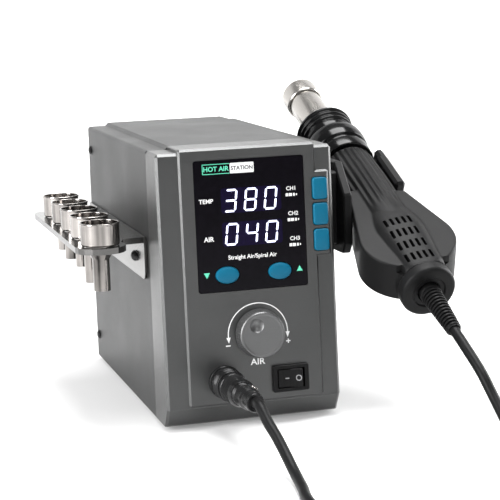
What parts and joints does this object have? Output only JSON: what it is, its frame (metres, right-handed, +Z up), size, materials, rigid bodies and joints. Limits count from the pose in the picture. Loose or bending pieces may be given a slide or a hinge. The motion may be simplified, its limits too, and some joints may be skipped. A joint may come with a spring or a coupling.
{
  "type": "hot air rework station",
  "caption": "Desktop hot air station: digital control case, spare nozzles on a side rack and a blower handset resting in a side cradle.",
  "frame": {"origin": "on the table under the middle of the footprint of the case, rack, cradle and handset, measured without the free cord and its plug", "axes": "+Z up; -Y towards the user, out of the control panel; +X to the right seen from the front, towards the handset"},
  "size_m": [0.2625, 0.406, 0.1784],
  "materials": {
    "case_coating": "fine metallic grey powder coat",
    "bezel_coating": "metallic grey paint with bright chamfers",
    "tray_steel": "zinc-plated",
    "black_screw": "black oxide",
    "rubber": "matt",
    "lens_black": "high gloss",
    "circuit_board": "solder mask",
    "display_face": "dark display",
    "key_blue": "satin blue",
    "knob_grey": "satin metallic grey",
    "switch_black": "satin black",
    "plug_black": "black nickel",
    "transformer_core": "varnished laminations",
    "polished_steel": "polished stainless",
    "cradle_black": "fine texture",
    "handset_black": "fine texture",
    "ring_gloss": "gloss",
    "heater_ceramic": "unglazed",
    "cord_rubber": "matt"
  },
  "bodies": {
    "station": {"base_tray": "tray_steel", "cable_clamp": "plug_black", "cord_coil": "cord_rubber", "cover": "case_coating", "cover_screw_1": "black_screw", "cover_screw_2": "black_screw", "cradle": "cradle_black", "cradle_screw_1": "tray_steel", "cradle_screw_2": "tray_steel", "display_board": "circuit_board", "display_lens": "lens_black", "encoder": "tray_steel", "foot_front_left": "rubber", "foot_front_right": "rubber", "foot_rear_left": "rubber", "foot_rear_right": "rubber", "front_bezel": "bezel_coating", "handset_cord": "cord_rubber", "handset_socket": "plug_black", "heat_sink": "tray_steel", "led_digits_air": "display_face", "led_digits_temperature": "display_face", "main_board": "circuit_board", "mains_inlet": "switch_black", "nozzle_rack": "polished_steel", "plug_cord": "cord_rubber", "plug_shell": "plug_black", "rack_screw_1": "black_screw", "rack_screw_2": "black_screw", "rear_panel": "case_coating", "rocker_housing": "switch_black", "socket_nut": "tray_steel", "transformer": "transformer_core"},
    "handset": {"handset_shell_upper": "handset_black", "handset_shell_lower": "handset_black", "tail_cap": "handset_black", "front_ring": "ring_gloss", "heater_guard": "handset_black", "heater_tube": "polished_steel", "mouth_ring": "polished_steel", "heater_core": "heater_ceramic", "blower_motor": "tray_steel", "strain_relief": "cord_rubber"},
    "impeller": {"blower_impeller": "handset_black"},
    "knob": {"air_knob": "knob_grey", "encoder_shaft": "tray_steel"},
    "rocker": {"rocker": "switch_black"},
    "plug_ring": {"coupling_ring": "plug_black"},
    "fuse_drawer": {"fuse_drawer": "switch_black"},
    "key_channel_1": {"key_channel_1": "key_blue"},
    "key_channel_2": {"key_channel_2": "key_blue"},
    "key_channel_3": {"key_channel_3": "key_blue"},
    "key_down": {"key_down": "key_blue"},
    "key_up": {"key_up": "key_blue"},
    "nozzle_1": {"nozzle_1": "polished_steel"},
    "nozzle_2": {"nozzle_2": "polished_steel"},
    "nozzle_3": {"nozzle_3": "polished_steel"},
    "nozzle_4": {"nozzle_4": "polished_steel"},
    "nozzle_5": {"nozzle_5": "polished_steel"}
  },
  "joints": [
    {"name": "handset_lift", "type": "slide", "parent": "station", "child": "handset", "axis": [0.0184, -0.438, 0.8988], "range_m": [0, 0.08]},
    {"name": "impeller_spin", "type": "hinge", "parent": "handset", "child": "impeller", "pos_m": [0.07589, -0.07077, 0.08846], "axis": [-0.1122, -0.4397, 0.8911], "continuous": true},
    {"name": "knob_turn", "type": "hinge", "parent": "station", "child": "knob", "pos_m": [-0.00809, -0.06402, 0.0515], "axis": [0, -0.999, 0.0454], "continuous": true},
    {"name": "rocker_tilt", "type": "hinge", "parent": "station", "child": "rocker", "pos_m": [0.00871, -0.06462, 0.02507], "axis": [0, 0.0454, 0.999], "range_deg": [0, 20]},
    {"name": "plug_ring_turn", "type": "hinge", "parent": "station", "child": "plug_ring", "pos_m": [-0.02869, -0.07415, 0.02671], "axis": [0, -0.999, 0.0454], "continuous": true},
    {"name": "fuse_drawer_pull", "type": "slide", "parent": "station", "child": "fuse_drawer", "axis": [0, 1, 0], "range_m": [0, 0.017]},
    {"name": "key_channel_1_press", "type": "slide", "parent": "station", "child": "key_channel_1", "axis": [0, 0.999, -0.0454], "range_m": [0, 0.0006], "stiffness_N_per_m": 500},
    {"name": "key_channel_2_press", "type": "slide", "parent": "station", "child": "key_channel_2", "axis": [0, 0.999, -0.0454], "range_m": [0, 0.0006], "stiffness_N_per_m": 500},
    {"name": "key_channel_3_press", "type": "slide", "parent": "station", "child": "key_channel_3", "axis": [0, 0.999, -0.0454], "range_m": [0, 0.0006], "stiffness_N_per_m": 500},
    {"name": "key_down_press", "type": "slide", "parent": "station", "child": "key_down", "axis": [0, 0.999, -0.0454], "range_m": [0, 0.0006], "stiffness_N_per_m": 500},
    {"name": "key_up_press", "type": "slide", "parent": "station", "child": "key_up", "axis": [0, 0.999, -0.0454], "range_m": [0, 0.0006], "stiffness_N_per_m": 500},
    {"name": "nozzle_1_lift", "type": "slide", "parent": "station", "child": "nozzle_1", "axis": [0, 0, 1], "range_m": [0, 0.05]},
    {"name": "nozzle_2_lift", "type": "slide", "parent": "station", "child": "nozzle_2", "axis": [0, 0, 1], "range_m": [0, 0.05]},
    {"name": "nozzle_3_lift", "type": "slide", "parent": "station", "child": "nozzle_3", "axis": [0, 0, 1], "range_m": [0, 0.05]},
    {"name": "nozzle_4_lift", "type": "slide", "parent": "station", "child": "nozzle_4", "axis": [0, 0, 1], "range_m": [0, 0.05]},
    {"name": "nozzle_5_lift", "type": "slide", "parent": "station", "child": "nozzle_5", "axis": [0, 0, 1], "range_m": [0, 0.05]}
  ]
}
